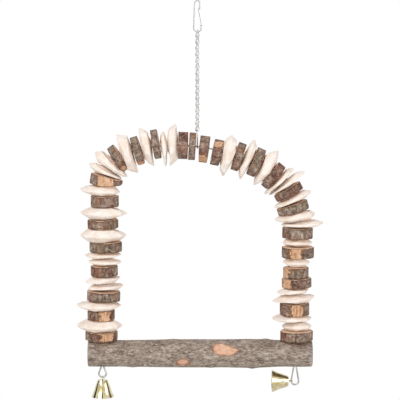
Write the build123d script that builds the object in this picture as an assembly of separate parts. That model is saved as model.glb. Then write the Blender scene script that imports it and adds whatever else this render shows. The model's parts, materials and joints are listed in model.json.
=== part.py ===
from build123d import *
import math
import os

# A hanging bird swing. A sprung wire hook and a twisted-link chain carry one bent wire arch, threaded with
# slices of branch and hewn wooden chips. A branch perch sits on the wire's ends, with a small bell under each.
# Millimetres, +X to the right, +Y away from the viewer, +Z up.
# The origin is where the bow of the hook bears on the bar that it hangs from.

# Snap hook, bent from spring wire
hook_wire = 1.2
hook_length = 26.5
hook_bow_width = 4.5
hook_body_width = 6.6
hook_bow_radius = 1.9
hook_foot_radius = 2.2
nose_drop = 7.6
nose_tuck = 0.35
hinge_drop = 20.7
hinge_boss = 2.4

# Sprung gate of the hook and its rivet
gate_sheet = 0.7
gate_cheek = 0.4
gate_lap = 0.9
gate_play = 0.15
rivet_diameter = 0.9
rivet_head = 1.8
rivet_head_height = 0.4
pin_clearance = 0.06

# Chain of twisted links and the long ring that holds the arch
link_count = 16
link_pitch = 5.47
link_wire = 1.15
link_width = 4.6
link_corner_share = 0.72
link_clearance = 0.1
ring_wire = 1.2
ring_width = 5.6
ring_length = 16.3
ring_slot = 2.2

# Arch of one bent wire, from leg to leg, and the loops below the perch
arch_wire = 1.5
left_leg = 139
left_shoulder_radius = 29.4
right_shoulder_radius = 60
left_shoulder_turn = 72
right_shoulder_turn = 59
hang_share = 0.486
loop_radius = 3.3
loop_bend_radius = 2
loop_flare_left = 22
loop_flare_right = 9.5
tail_spread = 2.4
tail_length = 8
hole_clearance = 0.2

# Branch slices and hewn chips threaded on the arch
disc_diameter = 26.5
disc_lean_rise = 0.8
disc_oval_share = 0.02
disc_ripple_share = 0.022
disc_points = 10
chip_width = 38
chip_depth_share = 0.9
chip_hub_share = 0.62
chip_rim = 1.3
chip_sides = 10
chip_jitter_share = 0.06
bead_bore = 2.7
bead_gap = 0.3

# Branch perch
perch_length = 200
perch_overhang = 14
perch_diameter = 24.5
perch_end_bevel = 0.8
perch_station_shares = (0, 0.07, 0.145, 0.3, 0.5, 0.64, 0.72, 0.79, 0.85, 0.93, 1)
perch_girth_shares = (0.99, 1, 0.99, 1.02, 1.05, 1.05, 1.08, 1.05, 0.995, 1, 0.98)
scar_radius = 30
scar_depth = 2.2
scar_place_share = 0.61
scar_lift = 31
knot_radius = 15
knot_depth = 1.1
knot_place_share = 0.424
knot_lift = -30

# Brass bells, their wire staples and clappers
bell_lip = 20.4
bell_crown = 8.6
bell_height = 14.8
bell_wall = 0.7
bell_height_shares = (0.12, 0.36, 0.64, 0.88)
bell_flare_shares = (0.15, 0.36, 0.6, 0.85)
staple_wire = 0.8
staple_eye = 4.2
staple_inner_eye = 2.6
clapper_eye = 2.6
clapper_stem = 0.8
clapper_ball = 4
clapper_show = 0.9
left_bell_tilt = 0
right_bell_tilt = 90
right_clapper_rest = -26

overrun = 2

# Beads in thread order from the left end of the perch to the right end.
# Each row: kind, slot share, width share, outward shift share, lean share.
left_leg_shares = (
    ("disc", 8.2, 1.09, 0.075, 0.3),
    ("chip", 10.2, 1.08, 0.095, 0),
    ("disc", 9.4, 0.95, 0.07, 0.1),
    ("chip", 7.6, 1.05, 0.107, 0.1),
    ("disc", 9.6, 1.12, 0, 0.5),
    ("chip", 6.1, 0.84, -0.058, -1),
    ("chip", 7.1, 0.84, 0.012, -0.9),
    ("disc", 9.4, 0.92, -0.03, -0.2),
    ("chip", 6.2, 0.78, -0.04, 0.1),
    ("chip", 6.2, 0.86, 0, -0.2),
    ("disc", 8.9, 1.11, -0.08, 0),
    ("chip", 11.5, 1.08, -0.01, 0),
    ("disc", 8.7, 1.03, -0.01, -0.4),
    ("chip", 10.8, 1.1, -0.02, 0.1),
    ("disc", 10, 0.96, -0.075, 0.1),
    ("chip", 9.1, 0.94, 0.06, 0.4),
)
left_shoulder_shares = (
    ("disc", 9.6, 1.09, -0.11, 0),
    ("chip", 6.7, 0.84, 0.01, 0),
    ("chip", 9.2, 0.95, -0.03, -0.3),
    ("disc", 8.2, 0.99, -0.035, -0.9),
    ("chip", 10.4, 1.02, -0.015, -1),
    ("disc", 8.5, 0.97, -0.027, -1),
    ("chip", 9, 0.94, 0.03, -1),
    ("disc", 7.8, 1, 0.098, -0.9),
    ("chip", 6.1, 0.82, -0.065, 0),
    ("chip", 9.2, 0.98, 0.015, 0.9),
    ("disc", 9.4, 0.92, 0.01, -0.2),
    ("disc", 6.9, 0.92, -0.01, -0.3),
)
right_shoulder_shares = (
    ("disc", 10, 0.9, -0.057, -0.5),
    ("wire", 2.6, 0, 0, 0),
    ("disc", 9.4, 0.9, -0.09, -0.5),
    ("chip", 11, 0.98, -0.06, -0.35),
    ("disc", 8.6, 0.97, 0.01, -0.8),
    ("chip", 7.7, 0.98, 0.015, -0.5),
    ("disc", 9.6, 0.99, 0.067, -0.9),
    ("chip", 10.2, 1, 0.05, 0.3),
    ("disc", 8.2, 1, -0.022, 0.2),
    ("chip", 6.4, 0.91, -0.005, 0.2),
    ("chip", 5.2, 1, 0.1, 1),
    ("disc", 8.8, 0.99, 0.025, 1),
    ("chip", 7, 0.94, 0.03, 0),
    ("disc", 8.6, 1.07, -0.048, -0.2),
    ("chip", 8, 0.96, -0.04, 0),
    ("chip", 6, 0.99, 0.113, 0),
)
right_leg_shares = (
    ("disc", 9.8, 1.03, 0.015, 0.2),
    ("chip", 7.6, 0.71, 0, 0),
    ("disc", 9.5, 1.12, 0.01, 0),
    ("chip", 8.7, 0.64, -0.02, 0),
    ("disc", 9.5, 0.86, -0.03, 0),
    ("disc", 8.9, 0.99, -0.02, -0.4),
    ("chip", 6.2, 0.76, -0.1, -0.8),
    ("chip", 7.6, 1, -0.08, -0.9),
    ("disc", 10.6, 1.03, -0.085, 0),
    ("chip", 6.6, 0.94, -0.12, 0),
    ("chip", 7.9, 0.7, 0, 0),
    ("disc", 8.6, 1.1, -0.01, 0),
)

# Axe cuts through the bark: where each faces, in degrees from the outward side towards the viewer, and how deep
axe_cuts_shares = {
    "left_01_bark_disc": (121, 0.12),
    "left_03_bark_disc": (110, 0.08),
    "left_shoulder_1": (95, 0.16),
    "left_shoulder_4": (150, 0.1),
    "left_shoulder_6": (160, 0.09),
    "right_shoulder_1": (138, 0.12),
    "right_shoulder_3": (40, 0.06),
    "right_10_bark_disc": (97, 0.05),
    "right_08_bark_disc": (150, 0.08),
    "right_07_bark_disc": (136, 0.1),
    "right_04_bark_disc": (80, 0.08),
}


# Heights of the hook and the chain
hook_top = hook_wire / 2
hook_foot = hook_top - hook_length
hinge_x = hook_body_width / 2
hinge_z = hook_top - hinge_drop
nose_x = hook_bow_width / 2 - nose_tuck
nose_z = hook_top - nose_drop
link_half = (link_width - link_wire) / 2
link_length = link_pitch + link_wire + link_clearance
first_crest = hook_foot + (hook_wire + link_wire) / 2 + link_clearance
link_crests = [first_crest - i * link_pitch for i in range(link_count)]
link_feet = [crest - link_length for crest in link_crests]
ring_crest = link_feet[-1] + (link_wire + ring_wire) / 2 + link_clearance
ring_foot = ring_crest - ring_length
hang_z = ring_foot + (ring_wire + arch_wire) / 2 + link_clearance

# The arch as three tangent arcs between two upright legs, measured from the foot of the left leg
leg_spacing = perch_length - 2 * perch_overhang
hang_offset = leg_spacing * hang_share
left_turn = math.radians(left_shoulder_turn)
right_turn = math.radians(right_shoulder_turn)
rise_heading = math.pi / 2 - left_turn
fall_heading = math.pi / 2 - right_turn
left_step = left_shoulder_radius * (1 - math.cos(left_turn))
right_step = right_shoulder_radius * (1 - math.cos(right_turn))
crown_radius = (leg_spacing - left_step - right_step) / (math.cos(left_turn) + math.cos(right_turn))
crown_x = left_step + crown_radius * math.sin(rise_heading)
crown_z = left_leg + left_shoulder_radius * math.sin(left_turn) - crown_radius * math.cos(rise_heading)
hang_heading = -math.asin((hang_offset - crown_x) / crown_radius)
right_leg = crown_z + (crown_radius - right_shoulder_radius) * math.cos(fall_heading)

# Lengths along the wire from the top of the perch
left_bend = left_leg + left_shoulder_radius * left_turn
crown_end = left_bend + crown_radius * (rise_heading + fall_heading)
right_bend = crown_end + right_shoulder_radius * right_turn
thread_length = right_bend + right_leg
hang_length = left_bend + crown_radius * (rise_heading - hang_heading)

# Places of the arch and the perch
left_x = -hang_offset
right_x = left_x + leg_spacing
perch_top = hang_z - crown_z - crown_radius * math.cos(hang_heading)
perch_axis = perch_top - perch_diameter / 2
perch_foot = perch_top - perch_diameter
perch_x = (left_x + right_x) / 2
hole_diameter = tail_spread + arch_wire + 2 * hole_clearance


def front(x, z):
    """A point in the front plane of the swing."""
    return Vector(x, 0, z)


def bent_wire(path, diameter):
    """A round wire along a path."""
    return sweep((path ^ 0) * Circle(diameter / 2), path=path)


def front_route(start, heading, moves):
    """A path in the front plane from straight lengths (radius zero) and bends (radius, turn in degrees)."""
    edges = []
    point = Vector(*start)
    for radius, amount in moves:
        direction = Vector(1, 0).rotate(Axis.Z, heading)
        if radius == 0:
            edge = Line(point, point + direction * amount)
        else:
            edge = JernArc(point, direction, radius, amount)
            heading += amount
        edges.append(edge)
        point = edge @ 1
    return Plane.XZ * Wire(edges)


# Snap hook
def hook_body():
    """Spring wire bent to a bow, a nose and a wide foot, ending in a flattened boss for the gate."""
    corners = (
        front(nose_x, nose_z),
        front(hook_bow_width / 2, hook_top),
        front(-hook_bow_width / 2, hook_top),
        front(-hook_body_width / 2, hook_foot),
        front(hook_body_width / 2, hook_foot),
        front(hinge_x, hinge_z),
    )
    radii = (hook_bow_radius, hook_bow_radius, hook_foot_radius, hook_foot_radius)
    wire = bent_wire(FilletPolyline(*corners, radius=radii), hook_wire)
    boss = Pos(*front(hinge_x, hinge_z)) * Rot(90, 0, 0) * Cylinder(hinge_boss / 2, hook_wire)
    bore = Rot(90, 0, 0) * Cylinder(rivet_diameter / 2 + pin_clearance, hook_wire + overrun)
    return wire + boss - Pos(*front(hinge_x, hinge_z)) * bore


gate_fork = hook_wire + 2 * pin_clearance
gate_breadth = gate_fork + 2 * gate_cheek
gate_tip = front(nose_x - hook_wire / 2 - gate_play - gate_sheet / 2, nose_z + gate_lap)
gate_foot = front(hinge_x, hinge_z)
gate_length = (gate_tip - gate_foot).length
gate_lean = math.degrees(math.atan2(gate_foot.X - gate_tip.X, gate_tip.Z - gate_foot.Z))


def hook_gate():
    """A sheet tongue behind the nose, folded at its foot into two cheeks round the hook's boss."""
    start = hinge_boss / 2 + gate_play
    reach = gate_length - start
    tongue = Pos(0, 0, start + reach / 2) * Box(gate_sheet, gate_breadth, reach)
    outline = Circle(hinge_boss / 2) + Pos(0, start / 2) * Rectangle(gate_sheet, start)
    outline += Pos(0, start + hinge_boss / 2) * Rectangle(gate_sheet, hinge_boss)
    outline -= Circle(rivet_diameter / 2 + pin_clearance)
    cheek = extrude(Plane.XZ * outline, amount=gate_cheek / 2, both=True)
    offset = (gate_fork + gate_cheek) / 2
    gate = tongue + Pos(0, offset, 0) * cheek + Pos(0, -offset, 0) * cheek
    return Pos(*gate_foot) * Rot(0, -gate_lean, 0) * gate


def gate_rivet():
    """A domed rivet through the gate's cheeks and the boss."""
    half = gate_breadth / 2 + pin_clearance
    rim = half + rivet_head_height / 2
    top = half + rivet_head_height
    profile = (
        (0, -top), (rivet_diameter / 2, -top), (rivet_head / 2, -rim), (rivet_head / 2, -half),
        (rivet_diameter / 2, -half), (rivet_diameter / 2, half),
        (rivet_head / 2, half), (rivet_head / 2, rim), (rivet_diameter / 2, top), (0, top),
    )
    rivet = revolve(Plane.XZ * make_face(Polyline(*profile, close=True)), axis=Axis.Z)
    return Pos(*gate_foot) * Rot(90, 0, 0) * rivet


# Chain
def chain_link(crest):
    """A closed link twisted a quarter turn: its upper bow lies along Y and its lower bow along X."""
    foot = crest - link_length
    corners = (
        Vector(0, 0, crest),
        Vector(0, link_half, crest),
        Vector(link_half, 0, foot),
        Vector(0, 0, foot),
    )
    half = bent_wire(FilletPolyline(*corners, radius=link_corner_share * link_half), link_wire)
    return half + Rot(0, 0, 180) * half


def connector_ring():
    """A long flat ring, edge-on from the front, from the last link down round the arch wire."""
    breadth = ring_width - ring_wire
    outline = SlotOverall(ring_length, breadth, rotation=90)
    path = Plane.YZ * outline.face().outer_wire()
    path = Pos(0, 0, (ring_crest + ring_foot) / 2) * path
    return bent_wire(path, ring_wire)


# Arch
def loop_limb(flare):
    """Straight length of a loop's side between the bend at the perch and the round foot."""
    angle = math.radians(flare)
    width = loop_radius * math.cos(angle) - tail_spread / 2 - loop_bend_radius * (1 - math.cos(angle))
    return width / math.sin(angle)


def loop_centre(leg_x, flare):
    """Centre of a loop's round foot, which its bell swings about."""
    angle = math.radians(flare)
    drop = (loop_bend_radius + loop_radius) * math.sin(angle) + loop_limb(flare) * math.cos(angle)
    return front(leg_x - tail_spread / 2, perch_foot - drop)


def loop_moves(flare, turn):
    """Bends of one loop: out at the perch, round the foot and back in."""
    limb = loop_limb(flare)
    return [
        (loop_bend_radius, -turn * flare),
        (0, limb),
        (loop_radius, turn * (180 + 2 * flare)),
        (0, limb),
        (loop_bend_radius, -turn * flare),
    ]


def arch():
    """One wire: a tail, the left loop, the arch from leg to leg, the right loop and its tail."""
    moves = [(0, tail_length)]
    moves += loop_moves(loop_flare_left, 1)
    moves += [(0, perch_diameter + left_leg)]
    moves += [(left_shoulder_radius, -left_shoulder_turn)]
    moves += [(crown_radius, -math.degrees(rise_heading + fall_heading))]
    moves += [(right_shoulder_radius, -right_shoulder_turn)]
    moves += [(0, right_leg + perch_diameter)]
    moves += loop_moves(loop_flare_right, -1)
    moves += [(0, tail_length)]
    start = (left_x - tail_spread, perch_foot + tail_length)
    return bent_wire(front_route(start, -90, moves), arch_wire)


# Beads
def thread_point(length):
    """Point of the arch wire at a length from the perch, and its heading."""
    if length < left_leg:
        return front(left_x, perch_top + length), math.pi / 2
    if length > right_bend:
        return front(right_x, perch_top + thread_length - length), -math.pi / 2
    if length < left_bend:
        heading = math.pi / 2 - (length - left_leg) / left_shoulder_radius
        centre = front(left_x + left_shoulder_radius, perch_top + left_leg)
        radius = left_shoulder_radius
    elif length < crown_end:
        heading = rise_heading - (length - left_bend) / crown_radius
        centre = front(left_x + crown_x, perch_top + crown_z)
        radius = crown_radius
    else:
        heading = -fall_heading - (length - crown_end) / right_shoulder_radius
        centre = front(right_x - right_shoulder_radius, perch_top + right_leg)
        radius = right_shoulder_radius
    return centre + front(-math.sin(heading), math.cos(heading)) * radius, heading


def thread_plane(length):
    """Plane across the wire: its x axis points out of the arch and its y axis to the viewer."""
    point, heading = thread_point(length)
    outward = (-math.sin(heading), 0, math.cos(heading))
    along = (math.cos(heading), 0, math.sin(heading))
    return Plane(origin=point, x_dir=outward, z_dir=along)


def bark_disc(slot, width, shift, lean, order, cut):
    """A slice of branch: an uneven round with flat faces, bored for the wire and sometimes axe-cut."""
    points = []
    for k in range(disc_points):
        angle = 2 * math.pi * k / disc_points
        swell = disc_oval_share * math.cos(2 * angle - order)
        swell += disc_ripple_share * math.cos(3 * angle + 2 * order)
        radius = width / 2 * (1 + swell)
        points.append((shift + radius * math.cos(angle), radius * math.sin(angle)))
    rise = disc_lean_rise * abs(lean)
    thickness = slot - bead_gap - 2 * rise
    face = make_face(Spline(*points, periodic=True))
    disc = extrude(face, amount=thickness / 2, both=True)
    if cut:
        facing, depth_share = cut
        direction = Vector(1, 0).rotate(Axis.Z, facing)
        side = Plane(origin=Vector(shift, 0) + direction * (width / 2 * (1 - depth_share)), z_dir=direction)
        disc = split(disc, bisect_by=side, keep=Keep.BOTTOM)
    tilt = math.degrees(math.atan2(disc_lean_rise * lean, width / 2 + abs(shift)))
    return Rot(0, -tilt, 0) * disc - Cylinder(bead_bore / 2, slot + overrun)


def wood_chip(slot, width, shift, lean, order):
    """A hewn chip: a thick hub that falls away in flat facets to a thin, leaning, uneven rim."""
    half = (slot - bead_gap) / 2
    rise = lean * (half - chip_rim / 2)
    layers = ((-half, chip_hub_share, 0), (-chip_rim / 2, 1, 1), (chip_rim / 2, 1, 1), (half, chip_hub_share, 0))
    sections = []
    for height, reach_share, rim in layers:
        points = []
        for k in range(chip_sides):
            angle = 2 * math.pi * k / chip_sides
            jitter = chip_jitter_share * math.sin(order * (k + 2)) * math.sin(angle)
            reach = width / 2 * reach_share * (1 - abs(jitter))
            across = reach * math.cos(angle)
            depth = reach * math.sin(angle) * chip_depth_share
            points.append((shift + across, depth, height + rim * rise * across / (width / 2)))
        sections.append(Face(Wire.make_polygon(points, close=True)))
    chip = loft(sections, ruled=True)
    return chip - Cylinder(bead_bore / 2, slot + overrun)


def thread_beads(rows, start, length):
    """The beads of one stretch of wire, each with its kind, order, start, end and shape shares."""
    total = sum(row[1] for row in rows)
    beads = []
    place = start
    for order, (kind, slot_share, width_share, shift_share, lean) in enumerate(rows, 1):
        slot = length * slot_share / total
        beads.append((kind, order, place, place + slot, width_share, shift_share, lean))
        place += slot
    return beads


def make_bead(bead, cut):
    """One bead at its place on the wire."""
    kind, order, start, end, width_share, shift_share, lean = bead
    slot = end - start
    if kind == "disc":
        width = disc_diameter * width_share
        solid = bark_disc(slot, width, disc_diameter * shift_share, lean, order, cut)
    else:
        solid = wood_chip(slot, chip_width * width_share, chip_width * shift_share, lean, order)
    return thread_plane((start + end) / 2) * solid


def trim_bead(solid, first, last):
    """A bead on a bend, cut back between two planes so that it clears its neighbours."""
    solid = split(solid, bisect_by=first, keep=Keep.TOP)
    return split(solid, bisect_by=last, keep=Keep.BOTTOM)


def leg_beads(side, rows, start, length, from_top):
    """Beads of a straight leg, one node each, numbered from the perch up."""
    nodes = {}
    for bead in thread_beads(rows, start, length):
        number = len(rows) + 1 - bead[1] if from_top else bead[1]
        kind = "bark_disc" if bead[0] == "disc" else "wood_chip"
        name = f"{side}_{number:02d}_{kind}"
        nodes[name] = make_bead(bead, axe_cuts_shares.get(name))
    return nodes


def shoulder_beads(side, rows, start, length, ring_side):
    """Beads of a bent stretch, as one group of discs and one of chips. The ring's slot has upright sides."""
    groups = {"disc": [], "chip": []}
    for bead in thread_beads(rows, start, length):
        kind, order, first, last = bead[:4]
        if kind == "wire":
            continue
        lower = thread_plane(first + bead_gap / 2)
        upper = thread_plane(last - bead_gap / 2)
        if ring_side == "end" and order == len(rows):
            upper = Plane(origin=front(-ring_slot / 2, hang_z), z_dir=(1, 0, 0))
        if ring_side == "start" and order == 1:
            lower = Plane(origin=front(ring_slot / 2, hang_z), z_dir=(1, 0, 0))
        solid = make_bead(bead, axe_cuts_shares.get(f"{side}_shoulder_{order}"))
        groups[kind].append(trim_bead(solid, lower, upper))
    return {
        f"{side}_shoulder_bark_discs": Compound(children=groups["disc"]),
        f"{side}_shoulder_wood_chips": Compound(children=groups["chip"]),
    }


# Perch
def branch_mark(place_share, lift, radius, depth):
    """A ball that hollows the branch where a twig was cut away, turned up from the viewer's side."""
    reach = perch_diameter / 2 + radius - depth
    place = Pos(perch_x + perch_length * (place_share - 0.5), 0, perch_axis)
    return place * Rot(-lift, 0, 0) * Pos(0, -reach, 0) * Sphere(radius)


def perch():
    """A straight branch with slightly uneven girth, bevelled ends, two twig scars and two drilled holes."""
    outline = []
    for place_share, girth_share in zip(perch_station_shares, perch_girth_shares):
        outline.append((perch_length * (place_share - 0.5), perch_diameter / 2 * girth_share))
    bark = Spline(*outline)
    core = Polyline(bark @ 1, (perch_length / 2, 0), (-perch_length / 2, 0), bark @ 0)
    branch = revolve(make_face([bark.edge()] + list(core.edges())), axis=Axis.X)
    branch = Pos(*front(perch_x, perch_axis)) * branch
    ends = branch.faces().sort_by(Axis.X)
    branch = chamfer(ends[0].edges() + ends[-1].edges(), perch_end_bevel)
    branch -= branch_mark(scar_place_share, scar_lift, scar_radius, scar_depth)
    branch -= branch_mark(knot_place_share, knot_lift, knot_radius, knot_depth)
    for leg_x in (left_x, right_x):
        hole = Cylinder(hole_diameter / 2, perch_diameter + overrun)
        branch -= Pos(*front(leg_x - tail_spread / 2, perch_axis)) * hole
    return branch


# Bells, drawn hanging straight down from the centre of their loop's round foot
staple_top = -loop_radius + (arch_wire + staple_wire) / 2 + link_clearance
staple_centre = staple_top - (staple_eye - staple_wire) / 2
bell_top = staple_centre - staple_eye / 2
inner_eye_centre = bell_top - bell_wall - staple_inner_eye / 2
clapper_pivot = inner_eye_centre - (staple_inner_eye - staple_wire) / 2
clapper_eye_centre = clapper_pivot + staple_wire + pin_clearance - (clapper_eye - staple_wire) / 2
clapper_ball_centre = bell_top - bell_height - clapper_show + clapper_ball / 2


def bell_shell():
    """A spun brass bell, open below, with a hole in its crown for the staple."""
    crown = bell_crown / 2
    flare = bell_lip / 2 - crown
    outer = [(crown, bell_top)]
    for height_share, flare_share in zip(bell_height_shares, bell_flare_shares):
        outer.append((crown + flare * flare_share, bell_top - bell_height * height_share))
    outer.append((bell_lip / 2, bell_top - bell_height))
    inner = [(x - bell_wall, z) for x, z in outer[1:]]
    inner.insert(0, (crown - bell_wall, bell_top - bell_wall))
    hole = staple_wire / 2 + pin_clearance
    outside = Spline(*outer)
    inside = Spline(*inner)
    rim = Line(outside @ 1, inside @ 1)
    crown_sides = Polyline(inside @ 0, (hole, bell_top - bell_wall), (hole, bell_top), outside @ 0)
    profile = make_face([outside.edge(), rim.edge(), inside.edge()] + list(crown_sides.edges()))
    return revolve(Plane.XZ * profile, axis=Axis.Z)


def bell_staple():
    """A wire staple through the crown: a ring on the arch's loop above and an eye for the clapper below."""
    ring = Torus((staple_eye - staple_wire) / 2, staple_wire / 2)
    eye = Torus((staple_inner_eye - staple_wire) / 2, staple_wire / 2)
    stem_top = staple_centre - (staple_eye - staple_wire) / 2
    stem_foot = inner_eye_centre + (staple_inner_eye - staple_wire) / 2
    stem = Pos(0, 0, (stem_top + stem_foot) / 2) * Cylinder(staple_wire / 2, stem_top - stem_foot)
    staple = Pos(0, 0, staple_centre) * Rot(0, 90, 0) * ring + stem
    return staple + Pos(0, 0, inner_eye_centre) * Rot(0, 90, 0) * eye


def bell_clapper():
    """A clapper: an eye on the staple, a thin stem and a ball that shows below the lip."""
    eye = Torus((clapper_eye - staple_wire) / 2, staple_wire / 2)
    stem_top = clapper_eye_centre - (clapper_eye - staple_wire) / 2
    stem_length = stem_top - clapper_ball_centre
    stem = Pos(0, 0, stem_top - stem_length / 2) * Cylinder(clapper_stem / 2, stem_length)
    clapper = Pos(0, 0, clapper_eye_centre) * Rot(90, 0, 0) * eye + stem
    return clapper + Pos(0, 0, clapper_ball_centre) * Sphere(clapper_ball / 2)


def bell_nodes(side, leg_x, flare, tilt, clapper_swing):
    """The three pieces of one bell on its loop, tilted about the loop, with the clapper turned on its eye."""
    place = Pos(*loop_centre(leg_x, flare)) * Rot(0, tilt, 0)
    swing = Pos(0, 0, clapper_pivot) * Rot(0, clapper_swing, 0) * Pos(0, 0, -clapper_pivot)
    return {
        f"bell_{side}": place * bell_shell(),
        f"bell_staple_{side}": place * bell_staple(),
        f"bell_clapper_{side}": place * swing * bell_clapper(),
    }


def all_nodes():
    """Every piece of the swing by its node's name."""
    nodes = {"hook_body": hook_body(), "hook_gate": hook_gate(), "gate_rivet": gate_rivet()}
    for number, crest in enumerate(link_crests, 1):
        nodes[f"chain_link_{number:02d}"] = chain_link(crest)
    nodes["connector_ring"] = connector_ring()
    nodes["arch_wire"] = arch()
    nodes["perch"] = perch()
    nodes.update(bell_nodes("left", left_x, loop_flare_left, left_bell_tilt, 0))
    nodes.update(bell_nodes("right", right_x, loop_flare_right, right_bell_tilt, right_clapper_rest))
    nodes.update(leg_beads("left", left_leg_shares, 0, left_leg, False))
    left_end = hang_length - ring_slot / 2
    right_start = hang_length + ring_slot / 2
    nodes.update(shoulder_beads("left", left_shoulder_shares, left_leg, left_end - left_leg, "end"))
    nodes.update(shoulder_beads("right", right_shoulder_shares, right_start, right_bend - right_start, "start"))
    nodes.update(leg_beads("right", right_leg_shares, right_bend, right_leg, True))
    return nodes


os.makedirs("parts", exist_ok=True)
for name, solid in all_nodes().items():
    export_step(solid, f"parts/{name}.step")
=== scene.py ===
import bpy
import json
import math
import numpy as np
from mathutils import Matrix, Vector, noise
from mathutils.bvhtree import BVHTree

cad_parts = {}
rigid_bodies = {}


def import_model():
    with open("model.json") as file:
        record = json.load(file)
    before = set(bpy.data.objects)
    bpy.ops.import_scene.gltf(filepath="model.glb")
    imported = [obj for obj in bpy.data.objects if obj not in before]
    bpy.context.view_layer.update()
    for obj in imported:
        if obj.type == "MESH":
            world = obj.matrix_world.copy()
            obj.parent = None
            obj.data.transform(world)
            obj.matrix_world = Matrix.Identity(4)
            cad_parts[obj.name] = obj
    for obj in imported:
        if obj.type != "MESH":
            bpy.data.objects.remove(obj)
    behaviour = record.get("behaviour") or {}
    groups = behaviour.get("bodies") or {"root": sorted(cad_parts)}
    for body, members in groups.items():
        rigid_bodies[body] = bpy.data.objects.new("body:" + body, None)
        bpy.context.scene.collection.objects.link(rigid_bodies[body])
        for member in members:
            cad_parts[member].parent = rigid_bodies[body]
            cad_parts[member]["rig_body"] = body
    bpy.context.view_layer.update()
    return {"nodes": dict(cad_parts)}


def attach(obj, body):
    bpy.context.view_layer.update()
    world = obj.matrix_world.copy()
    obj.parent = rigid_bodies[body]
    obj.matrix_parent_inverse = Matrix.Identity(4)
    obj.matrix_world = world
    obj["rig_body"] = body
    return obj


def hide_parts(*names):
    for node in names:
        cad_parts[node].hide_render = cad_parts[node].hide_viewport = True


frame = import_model()

MM = 0.001

# Camera: a long lens in front of the swing, a little above its middle
CAMERA_DISTANCE = 1600 * MM
CAMERA_ELEVATION = math.radians(7.5)
CAMERA_LENS = 163.1
CAMERA_SENSOR = 36
CAMERA_REACH = 100
CAMERA_AIM = Vector((2.3 * MM, 0, -174.4 * MM))

# Light, in metres: an even white room, one large soft key and a weaker fill (name, place, size, power),
# and dark boards that only metal reflects (place, size, shade)
ROOM_LIGHT = 0.58
LAMPS = (
    ("key", (-1.1, -1.7, 1.3), 1.4, 31),
    ("fill", (1.9, -1.3, 0.2), 1.2, 13),
)
LAMP_AIM = Vector((0, 0, -0.22))
BOARDS = (
    ((1.15, 0.2, 0.3), (0.62, 1.9), "#1C1A18"),
    ((-1.25, 0.2, 0.3), (0.62, 1.9), "#1C1A18"),
    ((-0.16, -0.8, 0.7), (0.34, 1.2), "#3E3226"),
    ((0, -1.2, -1.0), (0.5, 0.9), "#1C1A18"),
)
FLOOR_HEIGHT = -0.75
FLOOR_SIZE = 60
FLOOR_NEAR = 0.5
FLOOR_FAR = 1.1
FLOOR_WHITE = 0.55

# Reading the solids: digits that tell points and normals apart, how near the thread a facet's normal lies
# on a sawn face and on a rim, and where rays start, in millimetres
POINT_DIGITS = 4
NORMAL_DIGITS = 2
FACE_TILT = 0.8
RIM_TILT = 0.1
FLAT_TOLERANCE = 0.02
RAY_START = 90

# Threading, in millimetres: how near the wire a bore's wall lies, the bore, and the middle of the arch
BORE_REACH = 1.4
BORE_RADIUS = 1.35
BORE_CLEAR = 0.05
ARCH_MIDDLE = (2, -240)

# Steps through the noise from bead to bead and from use to use, so that no two places look alike
SLICE_SHIFT = np.array((31.7, 17.3, 23.9))
SLICE_GRAIN_SHIFT = 37
SLICE_BREAK_SHIFT = 11.3
SLICE_FOOT_SHIFT = Vector((3, 5, 7))
CHIP_SHIFT = np.array((29.3, 13.1, 19.7))
CRACK_SHIFT = Vector((7, 3, 1))
CRACK_PATCH_SHIFT = Vector((2, 9, 4))

# Bark, in millimetres: widths of its lumps, cracks and grit, and how often a place is cracked
BARK_LUMP_WIDTH = 5
BARK_CRACK_SPACING = 1.9
BARK_CRACK_WIDTH = 0.13
BARK_CRACK_PATCH = 7
BARK_CRACK_MEAN = 0.55
BARK_CRACK_CONTRAST = 1.6
BARK_GRIT_WIDTH = 0.8
BARK_CREASE = math.radians(50)

# Branch slices, in millimetres; their bark has lumps, cracks and grit of these depths
SLICE_STEPS = 132
SLICE_RIM_STEPS = 13
SLICE_FACE_SHARES = (0, 0.12, 0.3, 0.5, 0.7, 0.85, 0.93)
SLICE_EDGE = 0.3
SLICE_INSET = 0.45
SLICE_BREAK = 1.6
SLICE_BREAK_WIDTH = 4
SLICE_BARK = (0.4, 0.4, 0.15)
SLICE_STRETCH = (1, 1, 0.25)
SLICE_WEAR = 0.3
SLICE_WEAR_WIDTH = 3
SLICE_WEAR_POWER = 4
AXE_CUT_AREA = 30
AXE_CUT_FADE = 8
AXE_CUT_START = 0.4
AXE_CUT_RISE = 4
AXE_CUT_SMOOTH = 0.85

# Hewn chips, in millimetres
CHIP_STEPS = 132
CHIP_SHARES = (
    0, 0.1, 0.2, 0.29, 0.37, 0.44, 0.5, 0.56, 0.62, 0.68, 0.74, 0.8, 0.86, 0.91, 0.95, 0.985)
CHIP_FAN = range(-44, 45, 2)
CHIP_SMOOTHING = 1
CHIP_CREASE = math.radians(13)
# Blade strokes and the thin rim
CHIP_STROKES = 6
CHIP_STROKE_JITTER = 0.35
CHIP_STROKE_DEPTH = (0.3, 1.3)
CHIP_STROKE_START = (0.42, 0.72)
CHIP_STROKE_END = 0.97
CHIP_STROKE_LIMIT = 1.8
CHIP_STROKE_LEFT = 3
CHIP_HUB_SHARE = 0.25
CHIP_HUB_FADE = 0.3
CHIP_THIN_START = 0.6
CHIP_EDGE_SHARE = 0.9
# Flats that fill the room between the beads
CHIP_FILL = 0.9
CHIP_PLATE = 0.58
CHIP_PLATE_FRONT = 0.2
CHIP_PLATE_BEND = 0.12
CHIP_PLATE_WOBBLE = 0.07
CHIP_PLATE_PHASE = 6
CHIP_PLATE_MOST = 0.9
CHIP_GAP = 0.25
CHIP_NEAR = 28
CHIP_FAN_RISE = 2.5
# Fibres
CHIP_GRAIN = 0.06
CHIP_GRAIN_TURN = 0.5
CHIP_FIBRE = 0.8
CHIP_FIBRE_STRETCH = (0.08, 1, 1)
# How much the fibre grooves count for the chips' painted shade
CHIP_GROOVE_SHADE = 0.5

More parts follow.
